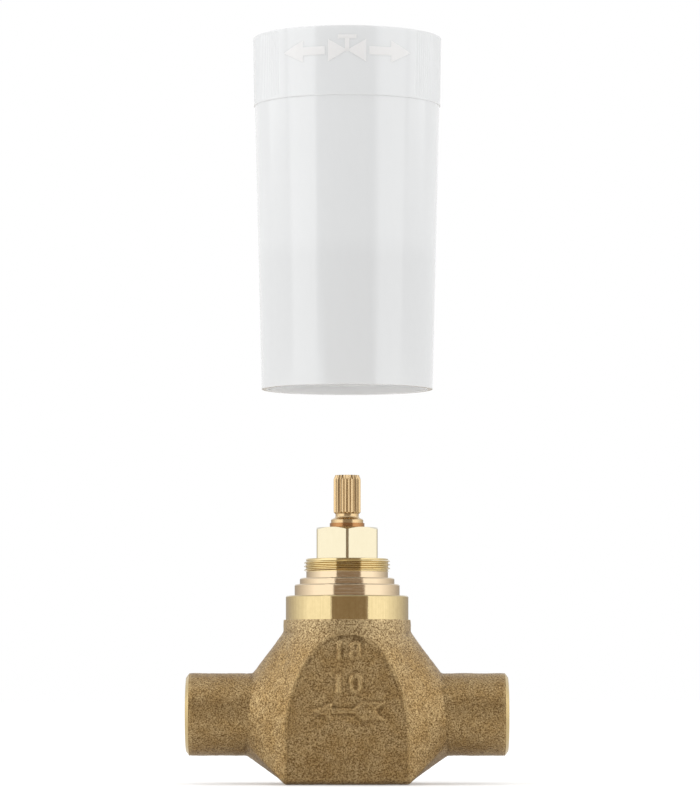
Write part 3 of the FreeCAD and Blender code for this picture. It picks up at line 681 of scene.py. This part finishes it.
def thread_ridge():
    """A right-handed tooth that climbs round the nose."""
    low = UNDERCUT_TOP / MM - THREAD_PITCH
    tooth = [
        (THREAD_ROOT, -TOOTH_FOOT), (THREAD_RADIUS, -TOOTH_CREST),
        (THREAD_RADIUS, TOOTH_CREST), (THREAD_ROOT, TOOTH_FOOT),
    ]
    form = bmesh.new()
    verts = [form.verts.new((radius * MM, 0, (low + up) * MM)) for radius, up in tooth]
    edges = [form.edges.new((verts[i - 1], verts[i])) for i in range(len(verts))]
    face = form.faces.new(verts)
    steps = int(((TOP - low) / THREAD_PITCH + 1) * THREAD_STEPS)
    climb = Vector((0, 0, THREAD_PITCH * MM / THREAD_STEPS))
    bmesh.ops.spin(
        form, geom=verts + edges + [face], cent=(0, 0, 0), axis=(0, 0, 1), dvec=climb,
        angle=steps * 2 * math.pi / THREAD_STEPS, steps=steps)
    for vert in form.verts:
        height = vert.co.z / MM
        under_lead = THREAD_RADIUS - THREAD_LEAD + TOP - height
        over_relief = THREAD_RADIUS - EASE + height - UNDERCUT_TOP / MM
        room = max(min(THREAD_RADIUS, under_lead, over_relief), THREAD_ROOT)
        if reach_of(vert) > room:
            set_reach(vert, room)
        vert.co.z = min(max(vert.co.z, UNDERCUT_TOP + THREAD_INSET), NOSE_TOP - THREAD_INSET)
    return form


nose = turned_nose()
join(nose, thread_ridge())
finished_piece("turned_nose", nose, "nose", "valve", "valve_body")

# %% [markdown]
# ## The socket linings
# Each socket is bored for its tube and faced at its end, so its mouth and its bore are bright, with a
# rounded lip that catches the light. A lining that stands out by 0.04 mm covers the cast wall there.

# %% Turn the socket linings
RUN_HEIGHT = 19.1 * MM
RUN_END = VALVE_HIGH.x / MM
SOCKET_OUTSIDE = 11.45
SOCKET_BORE = 9.075
SKIN = 0.04
LINING_INSIDE = SOCKET_BORE - SKIN
LINING_OUTSIDE = SOCKET_BORE + 0.4
LINING_START = RUN_END - 13.0
LINING_FACE = RUN_END + SKIN
LIP_BACK = RUN_END - 1.3
MOUTH_EASE = 0.5
LIP_ACROSS = 1.2
LIP_ALONG = 0.9
LIP_TUCK = 0.3
LINING_ROUND = 0.08 * MM
LINING_STEPS = 128


def socket_lining(name, side):
    corners = [
        (LINING_INSIDE, LINING_START), (LINING_INSIDE, RUN_END - MOUTH_EASE),
        (LINING_INSIDE + MOUTH_EASE, LINING_FACE), (SOCKET_OUTSIDE - LIP_ACROSS, LINING_FACE),
        (SOCKET_OUTSIDE + SKIN, LINING_FACE - LIP_ALONG), (SOCKET_OUTSIDE - LIP_TUCK, LIP_BACK),
        (LINING_OUTSIDE, LIP_BACK), (LINING_OUTSIDE, LINING_START),
    ]
    form = spun(corners, (side, 0, 0), (0, 0, RUN_HEIGHT), (0, 1, 0), LINING_STEPS)
    soften(form, LINING_ROUND)
    finished_piece(name, form, "socket", "valve", "valve_body")


socket_lining("inlet_lining", 1)
socket_lining("outlet_lining", -1)

# %% [markdown]
# ## The marks on the casting
# The pattern for the sand mould carried raised marks on its front panel: an arrow for the flow, and above
# it the plain numerals for the tube and the pressure. They are cut as flat outlines, given thickness, and
# sunk halfway into the panel. Melting them into the casting comes next, so that their edges turn as soft as
# the rest.

# %% Cut the marks
PANEL = -17.1
MARK_HEIGHT = 0.65
MARK_ROOT = 0.6
ARROW_LEVEL = 20.1
NUMERALS = (("18", 6.8, 36.5), ("10", 7.4, 27.4))
NUMERAL_SPACING = 1.3
NUMERAL_SWELL = 0.05 * MM


def raised(form, outline):
    """A prism from an outline in the panel's plane, in millimetres."""
    verts = [form.verts.new((x * MM, (PANEL + MARK_ROOT) * MM, z * MM)) for x, z in outline]
    face = form.faces.new(verts)
    made = bmesh.ops.extrude_face_region(form, geom=[face])
    grown = [item for item in made["geom"] if isinstance(item, bmesh.types.BMVert)]
    bmesh.ops.translate(form, verts=grown, vec=(0, -(MARK_ROOT + MARK_HEIGHT) * MM, 0))


def flow_arrow(form):
    """An arrow that points to the outlet, with a feathered tail."""
    z = ARROW_LEVEL
    raised(form, [(-9.5, z), (-4.2, z + 2.1), (-4.9, z), (-4.2, z - 2.1)])
    raised(form, [(-4.9, z + 0.55), (2.0, z + 0.55), (2.0, z - 0.55), (-4.9, z - 0.55)])
    for side in (1, -1):
        raised(form, [(1.2, z), (4.0, z + side * 2.3), (10.1, z + side * 2.3), (7.6, z)])


def numerals(form, text, height, level):
    curve = bpy.data.curves.new("numerals", "FONT")
    curve.body = text
    curve.align_x = "CENTER"
    curve.align_y = "CENTER"
    curve.size = height * MM
    curve.space_character = NUMERAL_SPACING
    curve.extrude = (MARK_ROOT + MARK_HEIGHT) / 2 * MM
    curve.offset = NUMERAL_SWELL
    flat = bpy.data.objects.new("numerals", curve)
    bpy.context.scene.collection.objects.link(flat)
    mesh = bpy.data.meshes.new_from_object(flat.evaluated_get(bpy.context.evaluated_depsgraph_get()))
    upright = Matrix.Translation((0, (PANEL + (MARK_ROOT - MARK_HEIGHT) / 2) * MM, level * MM))
    mesh.transform(upright @ Matrix.Rotation(math.pi / 2, 4, "X"))
    form.from_mesh(mesh)
    bpy.data.objects.remove(flat)
    bpy.data.curves.remove(curve)
    bpy.data.meshes.remove(mesh)


marks = bmesh.new()
flow_arrow(marks)
for text, height, level in NUMERALS:
    numerals(marks, text, height, level)
closed(marks)
print("marks:", len(marks.faces), "faces")

# %% [markdown]
# ## The cast skin
# A sharp solid can't look cast. The skin outside is taken from a copy of the measured body, cut off at the
# nose and at the two socket ends, closed, joined with the marks and poured again as one mesh of small even
# faces. Smoothing rounds its edges, and noise along the normals gives it the tooth of the sand. The
# waterway inside keeps its measured shape, and both are bridged into one closed shell.

# %% Take the outer skin off a copy of the body
RIM = RUN_END * MM - 0.95 * MM


def body_copy():
    form = frame_copy("valve_body")
    cut(form, (0, 0, NECK_TOP), (0, 0, 1), clear=True)
    for side in (1, -1):
        cut(form, (side * RIM, 0, 0), (side, 0, 0))
    return form


def outside_faces(form):
    """The faces that can be reached from the base without crossing a cut at a socket's end."""
    start = min(form.faces, key=lambda face: face.calc_center_median().z)
    found = {start}
    waiting = [start]
    while waiting:
        face = waiting.pop()
        for edge in face.edges:
            if all(abs(abs(vert.co.x) - RIM) < MERGE for vert in edge.verts):
                continue
            for other in edge.link_faces:
                if other not in found:
                    found.add(other)
                    waiting.append(other)
    return found


def keep_faces(form, keep):
    bmesh.ops.delete(form, geom=[face for face in form.faces if face not in keep], context="FACES")


skin = body_copy()
keep_faces(skin, outside_faces(skin))
for loop in open_loops(skin):
    bmesh.ops.holes_fill(skin, edges=loop, sides=0)
print("outer skin closed:", not open_loops(skin), "with", len(skin.faces), "faces")

# %% Pour it again with the marks
VOXEL = 0.37 * MM


def poured(form, extra):
    join(form, extra)
    bmesh.ops.triangulate(form, faces=form.faces)
    mesh = bpy.data.meshes.new("pour")
    form.to_mesh(mesh)
    form.free()
    block = bpy.data.objects.new("pour", mesh)
    bpy.context.scene.collection.objects.link(block)
    remesh = block.modifiers.new("pour", "REMESH")
    remesh.mode = "VOXEL"
    remesh.voxel_size = VOXEL
    result = bmesh.new()
    depsgraph = bpy.context.evaluated_depsgraph_get()
    result.from_mesh(block.evaluated_get(depsgraph).to_mesh())
    bpy.data.objects.remove(block)
    bpy.data.meshes.remove(mesh)
    return result


skin = poured(skin, marks)
print("poured:", len(skin.faces), "faces")

# %% Round the skin and give it the tooth of the sand
SAND_WIDTH = 0.95 * MM
SAND_TOOTH = 0.07 * MM
WAVE_WIDTH = 5.0 * MM
WAVE_DEPTH = 0.09 * MM
SOFTENING = 1
HOLLOW_WIDTH = 8
HOLLOW_DEPTH = 0.12 * MM


def smoothed(form, turns):
    for turn in range(turns):
        bmesh.ops.smooth_vert(
            form, verts=form.verts, factor=0.5, use_axis_x=True, use_axis_y=True, use_axis_z=True)
    return form


smoothed(skin, SOFTENING)
skin.normal_update()
soft = smoothed(skin.copy(), HOLLOW_WIDTH)
hollow = skin.verts.layers.float.new("hollow")
for vert, eased_vert in zip(skin.verts, soft.verts):
    vert[hollow] = (eased_vert.co - vert.co).dot(vert.normal) / HOLLOW_DEPTH
soft.free()
deepest = 0.0
for vert in skin.verts:
    tooth = noise.noise(vert.co / SAND_WIDTH) + 0.5 * noise.noise(vert.co / (0.5 * SAND_WIDTH))
    wave = noise.noise(vert.co / WAVE_WIDTH)
    vert.co += vert.normal * (tooth * SAND_TOOTH + wave * WAVE_DEPTH)
    deepest = max(deepest, vert[hollow])
print("deepest hollow:", round(deepest * HOLLOW_DEPTH / MM, 3), "mm")

# %% Bridge the skin to the waterway
TRIM = 0.3 * MM
SPOT_WIDTH = 10 * MM


def trimmed(form):
    cut(form, (0, 0, NECK_TOP - TRIM), (0, 0, 1), clear=True)
    for side in (1, -1):
        cut(form, (side * (RIM - TRIM), 0, 0), (side, 0, 0), clear=True)
    return form


def waterway():
    form = body_copy()
    outside = outside_faces(form)
    keep_faces(form, set(form.faces) - outside)
    return form


def bridged(skin, inside):
    join(skin, inside)
    loops = open_loops(skin)

    def place(loop):
        middle = sum((edge.verts[0].co for edge in loop), Vector()) / len(loop)
        return round(middle.x / SPOT_WIDTH)

    for spot in {place(loop) for loop in loops}:
        pair = [edge for loop in loops if place(loop) == spot for edge in loop]
        bmesh.ops.bridge_loops(skin, edges=pair)
    return skin


shell = bridged(trimmed(skin), waterway())
print("rims left open:", len(open_loops(shell)))
finished_piece(
    "cast_shell", shell, "cast", "valve", "valve_body", sharp=60.0, large_faces_flat=False)

# %% [markdown]
# ## The plaster sleeve
# The sleeve is a lathe shape too, with a web across its middle and a hub below it that fits the nose. Its
# band has fine flutes for the fingers, apart from a smooth panel in front, which stands a little proud of
# them. The flutes are made after the spin: the two inner rings of the band's wall are drawn in as a wave,
# so each flute fades out at both ends.

# %% Turn the sleeve
FLUTES = 168
STEPS_A_FLUTE = 5
FLUTE_DEPTH = 0.11
FLUTE_SETBACK = 0.05
PANEL_HALF_ANGLE = math.radians(46.0)
SLEEVE_FOOT = SLEEVE_LOW.z / MM
SLEEVE_TOP = SLEEVE_HIGH.z / MM
RIM_RADIUS = 23.95
UNDER_BAND = 25.95
BAND_FOOT_RADIUS = 26.2
BAND_TOP_RADIUS = 26.5
BAND = 79.6
WALL = 1.6
WEB_FOOT = 37.4
WEB_TOP = 39.4
HUB_INSIDE = 14.9
HUB_OUTSIDE = 16.4
HUB_END = 2.1
WEB_DRAFT = 0.4
FLUTE_MARGIN = 0.9
SLEEVE_ROUND = 0.16 * MM
NEAR = 0.1


def sleeve_taper(height):
    return RIM_RADIUS + (UNDER_BAND - RIM_RADIUS) * height / BAND


def band_radius(height):
    share = (height - BAND) / (SLEEVE_TOP - SLEEVE_FOOT - BAND)
    return BAND_FOOT_RADIUS + (BAND_TOP_RADIUS - BAND_FOOT_RADIUS) * share


def sleeve_form():
    tall = SLEEVE_TOP - SLEEVE_FOOT
    low, high = BAND + FLUTE_MARGIN, tall - FLUTE_MARGIN
    fade = 0.4 * FLUTE_MARGIN
    corners = [
        (RIM_RADIUS - WALL, 0.0), (RIM_RADIUS, 0.0), (UNDER_BAND, BAND), (BAND_FOOT_RADIUS, BAND),
        *((band_radius(level), level) for level in (BAND + fade, low, high, tall - fade)),
        (BAND_TOP_RADIUS, tall), (BAND_TOP_RADIUS - WALL, tall),
        (sleeve_taper(WEB_TOP) - WALL, WEB_TOP), (0, WEB_TOP), (0, WEB_FOOT),
        (HUB_INSIDE, WEB_FOOT), (HUB_INSIDE, HUB_END), (HUB_OUTSIDE, HUB_END), (HUB_OUTSIDE, WEB_FOOT),
        (sleeve_taper(WEB_FOOT) - WALL - WEB_DRAFT, WEB_FOOT),
    ]
    placed = [(radius, SLEEVE_FOOT + height) for radius, height in corners]
    form = spun(placed, (0, 0, 1), (0, 0, 0), (1, 0, 0), FLUTES * STEPS_A_FLUTE)
    for vert in form.verts:
        height = vert.co.z / MM - SLEEVE_FOOT
        radius = reach_of(vert)
        in_flutes = low - NEAR < height < high + NEAR and radius > BAND_FOOT_RADIUS - NEAR
        turn = math.atan2(vert.co.x, -vert.co.y)
        if in_flutes and abs(turn) > PANEL_HALF_ANGLE:
            wave = 0.5 + 0.5 * math.cos(FLUTES * turn)
            set_reach(vert, radius - FLUTE_SETBACK - FLUTE_DEPTH * wave)
    return form


# %% Give its inside the duller finish
def dull_inside(piece):
    """Gives the faces behind the wall's outer skin their own finish."""
    piece.data.materials.append(FINISHES["sleeve_inside_painted_glow"])
    count = 0
    for face in piece.data.polygons:
        middle = face.center / MM
        inside = math.hypot(middle.x, middle.y) < sleeve_taper(middle.z - SLEEVE_FOOT) - 0.6 * WALL
        face.material_index = int(inside)
        count += inside
    print("faces inside the sleeve:", count)


sleeve = soften(sleeve_form(), SLEEVE_ROUND, above=40.0, rings_only=True)
dull_inside(finished_piece("sleeve_shell", sleeve, "sleeve", "sleeve", "plaster_sleeve"))

# %% [markdown]
# ## The sign on the sleeve
# A plain pictogram tells the plumber which way up the valve lies: a valve with its handle, and an arrow on
# either side. It stands a little out of the smooth panel and is whiter than it. Each outline is drawn flat,
# cut into narrow strips so that it can bend, given thickness, and rolled onto the band.

# %% Roll the sign onto the band
SIGN_LEVEL = SLEEVE_TOP - 6.9
SIGN_HEIGHT = 0.08
SIGN_ROOT = 0.1
SIGN_WIDTH = 40
STRIP = 0.7
SIGN_SHAPES = {
    "valve_left": [(-5.3, -3.1), (-5.3, 3.1), (0.0, 0.0)],
    "valve_right": [(5.3, 3.1), (5.3, -3.1), (0.0, 0.0)],
    "stem": [(-0.6, -0.4), (0.6, -0.4), (0.6, 3.2), (-0.6, 3.2)],
    "handle": [(-2.6, 3.2), (2.6, 3.2), (2.6, 4.3), (-2.6, 4.3)],
    "arrow_left": [(-19.0, 0.0), (-12.6, -3.0), (-12.6, -1.15), (-6.2, -1.15), (-6.2, 1.15), (-12.6, 1.15),
                   (-12.6, 3.0)],
    "arrow_right": [(19.0, 0.0), (12.6, 3.0), (12.6, 1.15), (6.2, 1.15), (6.2, -1.15), (12.6, -1.15),
                    (12.6, -3.0)],
}


def sign_shape(form, outline):
    verts = [form.verts.new((x * MM, 0, y * MM)) for x, y in outline]
    face = form.faces.new(verts)
    made = bmesh.ops.extrude_face_region(form, geom=[face])
    grown = [item for item in made["geom"] if isinstance(item, bmesh.types.BMVert)]
    bmesh.ops.translate(form, verts=grown, vec=(0, -(SIGN_HEIGHT + SIGN_ROOT) * MM, 0))


def rolled(form):
    for vert in form.verts:
        height = SIGN_LEVEL + vert.co.z / MM
        band = band_radius(height - SLEEVE_FOOT)
        radius = (band - SIGN_ROOT) * MM - vert.co.y
        turn = vert.co.x / (band * MM)
        vert.co = (radius * math.sin(turn), -radius * math.cos(turn), height * MM)


sign = bmesh.new()
for outline in SIGN_SHAPES.values():
    sign_shape(sign, outline)
strips = int(SIGN_WIDTH / STRIP)
for index in range(-strips // 2, strips // 2 + 1):
    cut(sign, (index * STRIP * MM, 0, 0), (1, 0, 0))
rolled(sign)
finished_piece("valve_sign", sign, "sign", "sleeve", "plaster_sleeve")

# %% [markdown]
# ## The studio
# The picture was taken on white, with a wide soft light on either side and a dark gap between them where
# the camera stands. The gap is what draws the dark stripe down the middle of the sleeve and the collar, a
# little wider to one side on either of them. Grey cards behind the camera make it. Two curved cards stand
# round the valve, bright in front and dim at the back, so that its turned steps fade towards their edges
# and stand out from the white. The cards are out of the picture and only show in reflections. The floor is
# white to the camera, and duller as a light and in reflections, so that it doesn't fill the sleeve and the
# casting from below.

# %% Lay the floor
FLOOR_SIZE = 6.0
FLOOR_LEVEL = -0.2 * MM
FLOOR_MIRRORED = 0.55


def stage_panel(name, form, material):
    mesh = bpy.data.meshes.new(name)
    form.to_mesh(mesh)
    form.free()
    mesh.materials.append(material)
    panel = bpy.data.objects.new(name, mesh)
    bpy.context.scene.collection.objects.link(panel)
    return panel


def flat_panel(name, corners, material):
    form = bmesh.new()
    form.faces.new([form.verts.new(corner) for corner in corners])
    return stage_panel(name, form, material)


def floor_paint():
    finish = Finish(
        "floor_paint", Base_Color=tint(0.86, 0.86, 0.86), Roughness=0.9, Emission_Color=tint(1, 1, 1),
        Emission_Strength=0.30,
    )
    dull = finish.node("ShaderNodeBsdfDiffuse", None, {"Color": tint(0.80, 0.78, 0.76)})
    seen = finish.node("ShaderNodeLightPath", output="Is Camera Ray")
    seen = seen + finish.node("ShaderNodeLightPath", output="Is Glossy Ray") * FLOOR_MIRRORED
    bright = Socket(finish, finish.shader.outputs[0])
    mixed = finish.node("ShaderNodeMixShader", None, {0: seen, 1: dull, 2: bright})
    finish.connect(mixed, finish.tree.nodes["Material Output"].inputs["Surface"])
    return finish.material


half = FLOOR_SIZE / 2
corners = [(x, y, FLOOR_LEVEL) for x, y in ((-half, -half), (half, -half), (half, half), (-half, half))]
flat_panel("floor", corners, floor_paint())
print("floor at", FLOOR_LEVEL / MM, "mm")

# %% Put up the cards
GAP_DISTANCE = 1.9
VALVE_GAP = (-29.7, 39.0)
SLEEVE_GAP = (-38.0, 34.5)
VALVE_CARD_TOP = 0.17
SLEEVE_CARD_TOP = 0.56
CARD_TOP = 2.2
SIDE_DISTANCE = 0.62
SIDE_HEIGHT = 0.13
SIDE_END = 178.0
SIDE_FADE = (-0.26 * SIDE_DISTANCE, 0.97 * SIDE_DISTANCE)
SIDE_STEPS = 48
CARD_BLACK = tint(0.02, 0.02, 0.02)


def only_in_reflections(panel):
    panel.visible_camera = False
    panel.visible_diffuse = False
    panel.visible_shadow = False


def gap_card(name, gap, low, high, colour):
    """A card behind the camera, between two directions as seen from the valve."""
    paint = Finish(name, Base_Color=CARD_BLACK, Emission_Color=colour, Emission_Strength=1.0)
    start, end = (GAP_DISTANCE * math.tan(math.radians(angle)) for angle in gap)
    outline = ((start, low), (end, low), (end, high), (start, high))
    corners = [(x, -GAP_DISTANCE, z) for x, z in outline]
    only_in_reflections(flat_panel(name, corners, paint.material))


def side_paint():
    """Light in front and dim at the back."""
    finish = Finish("side_paint", Base_Color=CARD_BLACK, Emission_Strength=1.75)
    back = finish.node("ShaderNodeSeparateXYZ", None, {0: finish.place()}, output="Y")
    share = finish.ramp(back, *SIDE_FADE)
    finish.paint(Emission_Color=finish.blend(share, tint(1.0, 1.0, 0.98), tint(0.25, 0.22, 0.18)))
    return finish.material


def side_card(name, start, end, material):
    """A card that runs round the valve from one direction to another."""
    form = bmesh.new()
    turn = math.radians(start)
    foot = Vector((SIDE_DISTANCE * math.sin(turn), -SIDE_DISTANCE * math.cos(turn), 0))
    verts = [form.verts.new(foot), form.verts.new(foot + Vector((0, 0, SIDE_HEIGHT)))]
    edge = form.edges.new(verts)
    bmesh.ops.spin(
        form, geom=verts + [edge], cent=(0, 0, 0), axis=(0, 0, 1), angle=math.radians(end - start),
        steps=SIDE_STEPS)
    only_in_reflections(stage_panel(name, form, material))


gap_card("gap_for_valve", VALVE_GAP, 0.0, VALVE_CARD_TOP, tint(0.34, 0.235, 0.14))
gap_card("gap_for_sleeve", SLEEVE_GAP, VALVE_CARD_TOP, SLEEVE_CARD_TOP, tint(0.34, 0.34, 0.335))
gap_card("gap_above", SLEEVE_GAP, SLEEVE_CARD_TOP, CARD_TOP, tint(0.22, 0.16, 0.10))
side = side_paint()
side_card("left_side_card", VALVE_GAP[0], -SIDE_END, side)
side_card("right_side_card", VALVE_GAP[1], SIDE_END, side)
print("cards at", GAP_DISTANCE, "and", SIDE_DISTANCE, "m")

# %% [markdown]
# ## World and lamps
# A white room gives most of the light. Two wide softboxes stand on each side, the left ones a little
# stronger, and one hangs above. They are far away and large against the valve, so their shadows are soft.

# %% Light the room
ROOM_LIGHT = 0.80


def white_world(level):
    """White where it is seen or mirrored, and a little dimmer as a light."""
    world = bpy.data.worlds.new("white_studio")
    world.use_nodes = True
    web = Web(world.node_tree)
    seen = web.node("ShaderNodeLightPath", output="Is Camera Ray")
    for kind in ("Is Glossy Ray", "Is Transmission Ray"):
        seen = seen + web.node("ShaderNodeLightPath", output=kind)
    background = web.tree.nodes["Background"]
    web.connect(tint(1, 1, 1), background.inputs["Color"])
    web.connect(level + (seen > 0.5) * (1 - level), background.inputs["Strength"])
    return world


bpy.context.scene.world = white_world(ROOM_LIGHT)
print("room light:", ROOM_LIGHT)


# %% Hang the lamps
def softbox(name, place, size, power):
    """A wide lamp that looks at the middle of the object."""
    lamp = bpy.data.lights.new(name, "AREA")
    lamp.shape = "RECTANGLE"
    lamp.size, lamp.size_y = size
    lamp.energy = power
    box = bpy.data.objects.new(name, lamp)
    box.location = place
    box.rotation_mode = "QUATERNION"
    box.rotation_quaternion = (MIDDLE - Vector(place)).to_track_quat("-Z", "Y")
    bpy.context.scene.collection.objects.link(box)


MIDDLE = Vector((0, 0, SLEEVE_HIGH.z / 2))
LAMPS = {
    "left_light": ((-1.36, -0.85, 0.78), (1.2, 1.5), 5.2),
    "right_light": ((1.36, -0.85, 0.78), (1.2, 1.5), 3.9),
    "left_side_light": ((-1.58, 0.22, 0.80), (1.0, 1.0), 2.5),
    "right_side_light": ((1.58, 0.22, 0.80), (1.0, 1.0), 2.2),
    "top_light": ((-0.3, -0.3, 1.6), (1.2, 0.9), 2.2),
}
for name, (place, size, power) in LAMPS.items():
    softbox(name, place, size, power)
print("lamps:", {name: power for name, (place, size, power) in LAMPS.items()}, "W")

# %% [markdown]
# ## The camera
# The camera stands low, in front of the panel, and looks up a little: the collar is seen almost level, and
# the far wall of the sleeve shows under its rim.

# %% Set the camera
IMAGE_HEIGHT = 800
FOCAL_PIXELS = 4210
DISTANCE = 1.176
EYE_HEIGHT = 31.4 * MM
ASIDE = 0.8 * MM
TILT = math.radians(3.672)
SENSOR = 36.0
NEAREST = 0.05

lens = bpy.data.cameras.new("camera")
lens.sensor_width = SENSOR
lens.lens = SENSOR * FOCAL_PIXELS / IMAGE_HEIGHT
lens.clip_start = NEAREST
camera = bpy.data.objects.new("camera", lens)
camera.location = (ASIDE, -DISTANCE, EYE_HEIGHT)
camera.rotation_euler = (math.pi / 2 + TILT, 0, 0)
bpy.context.scene.collection.objects.link(camera)
bpy.context.scene.camera = camera
bpy.context.scene.view_settings.view_transform = "Standard"
print("camera", DISTANCE, "m away,", round(EYE_HEIGHT / MM, 1), "mm high, lens", round(lens.lens, 1), "mm")
